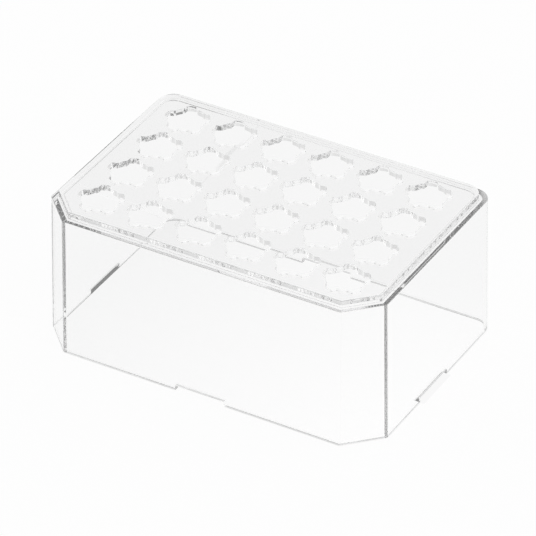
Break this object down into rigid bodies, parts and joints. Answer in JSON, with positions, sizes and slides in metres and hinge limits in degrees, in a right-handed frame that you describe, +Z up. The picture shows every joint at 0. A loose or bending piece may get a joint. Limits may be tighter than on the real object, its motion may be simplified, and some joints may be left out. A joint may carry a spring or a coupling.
{
  "type": "microcentrifuge tube rack",
  "caption": "Clear box-shaped laboratory rack, open underneath, whose flat top plate holds small tubes in a grid of scalloped holes; a ledge around the top lets racks stack.",
  "frame": {"origin": "middle of the bottom rim's outline, in the plane the rack stands on", "axes": "+X along the rows of six holes, +Y towards the two rounded corners, +Z up"},
  "size_m": [0.1252, 0.0842, 0.0534],
  "materials": {
    "clear_polystyrene": "water-clear injection-moulded plastic, polished inside and out"
  },
  "bodies": {
    "root": {"rack_body": "clear_polystyrene"}
  },
  "joints": []
}
